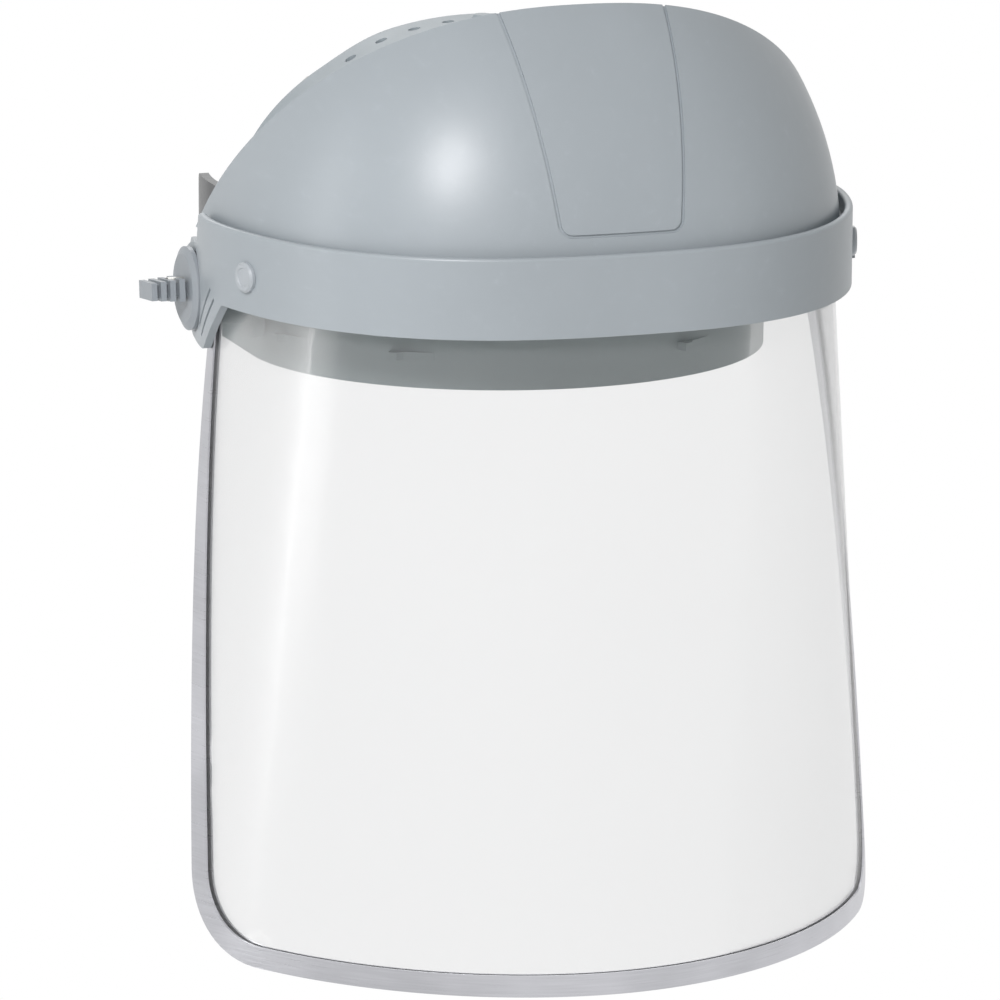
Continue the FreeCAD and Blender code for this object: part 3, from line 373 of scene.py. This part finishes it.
looks = {  # each finish, and the nodes that have it, alone or as a left and right pair
    "guardPlastic": ("window_band", "brow_dome"),
    "clearWindow": ("window",),
    "brushedEdge": ("edge_binding",),
    "knobPlastic": ("tilt_knob", "button_clip", "pinion"),
    "headgearPlastic": ("headband", "side_lug", "ratchet_housing", "ratchet_cover"),
    "strapPlastic": ("crown_strap", "crown_peg", "crown_stud", "nape_stud", "nape_strap"),
    "blackPlastic": ("temple_bracket", "ratchet_knob"),
    "buttonPlastic": ("window_button",),
    "linerPlastic": ("liner_tab",),
    "washerRubber": ("friction_washer", "thrust_washer"),
    "zincSteel": ("pivot_screw", "cover_screws"),
    "platedBrass": ("knob_insert",),
}


def dress(piece, finish):
    piece.data.materials.clear()
    piece.data.materials.append(finish)


def finishNodes():
    finishes = {name: mouldedPlastic(name) for name in plastics}
    finishes["brushedEdge"] = brushedEdge()
    finishes.update({name: turnedMetal(name) for name in metals})
    finishes["clearWindow"] = clearWindow()
    for finish, stems in looks.items():
        for stem in stems:
            for name in (stem, stem + "_left", stem + "_right"):
                if name in nodes:
                    dress(nodes[name], finishes[finish])
    return finishes


mergeDistance = 0.00002


def copyNode(name, title):
    # a copy of a construction node as a new piece, with its points merged
    piece = newObject(title, nodes[name].data.copy())
    bpy.ops.object.select_all(action="DESELECT")
    bpy.context.view_layer.objects.active = piece
    piece.select_set(True)
    bpy.ops.object.mode_set(mode="EDIT")
    bpy.ops.mesh.select_all(action="SELECT")
    bpy.ops.mesh.remove_doubles(threshold=mergeDistance)
    bpy.ops.object.mode_set(mode="OBJECT")
    return piece


shells = {  # body, slot, finish and the sharpest bend that still shades round
    "window": ("visor", "clear_window", "clearWindow", 40),
}


def makeShell(name, finishes):
    # the same shell with its points merged, so that gloss runs smoothly round its curves
    body, slot, finish, angle = shells[name]
    piece = copyNode(name, name + "_shell")
    bpy.ops.object.shade_smooth_by_angle(angle=math.radians(angle))
    dress(piece, finishes[finish])
    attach(piece, body)
    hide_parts(name)


pads = {
    "brow_pad": {"voxel": 0.0025, "shrink": 0.0007, "pressure": 2.5, "swell": 0.0016, "fill": 0.6},
    "nape_pad": {"voxel": 0.0022, "shrink": 0.0006, "pressure": 2.5, "swell": 0.0016, "fill": 0.6},
}
puffing = {"steps": 16, "quality": 4}
smoothing = {"factor": 0.5, "before": 6, "after": 2}


def applyModifier(piece, kind, **settings):
    modifier = piece.modifiers.new(kind.lower(), kind)
    for key, value in settings.items():
        setattr(modifier, key, value)
    bpy.context.view_layer.objects.active = piece
    bpy.ops.object.modifier_apply(modifier=modifier.name)


def puff(piece, values):
    # inflates the pad a little as cloth, and keeps each point near where it began
    begun = [vertex.co.copy() for vertex in piece.data.vertices]
    cloth = piece.modifiers.new("cloth", "CLOTH")
    cloth.settings.use_pressure = True
    cloth.settings.uniform_pressure_force = values["pressure"]
    cloth.settings.effector_weights.gravity = 0
    cloth.settings.quality = puffing["quality"]
    cloth.point_cache.frame_start, cloth.point_cache.frame_end = 1, puffing["steps"]
    for step in range(1, puffing["steps"] + 1):
        scene.frame_set(step)
    shaped = piece.evaluated_get(bpy.context.evaluated_depsgraph_get()).to_mesh()
    moved = [vertex.co.copy() for vertex in shaped.vertices]
    piece.modifiers.remove(cloth)
    for vertex, start, end in zip(piece.data.vertices, begun, moved):
        move = end - start
        if move.length > values["swell"]:
            move *= values["swell"] / move.length
        vertex.co = start + move
    scene.frame_set(1)


def makePad(name, finish):
    values = pads[name]
    piece = copyNode(name, name + "_cushion")
    applyModifier(piece, "REMESH", mode="VOXEL", voxel_size=values["voxel"])
    applyModifier(piece, "DISPLACE", strength=-values["shrink"], mid_level=0)
    applyModifier(piece, "SMOOTH", factor=smoothing["factor"], iterations=smoothing["before"])
    puff(piece, values)
    applyModifier(piece, "SMOOTH", factor=smoothing["factor"], iterations=smoothing["after"])
    dress(piece, finish)
    piece.data.shade_smooth()
    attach(piece, "headgear")
    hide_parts(name)


scene.view_settings.view_transform = "Standard"
addCamera()
addLights()
addWorld()
addFloor()
print("camera, lights and surroundings are in place")
finishes = finishNodes()
print("finishes are on the construction")
for shellName in shells:
    makeShell(shellName, finishes)
print("smooth shells are made")
padFinish = padCloth()
for padName in pads:
    makePad(padName, padFinish)
print("pads are made")
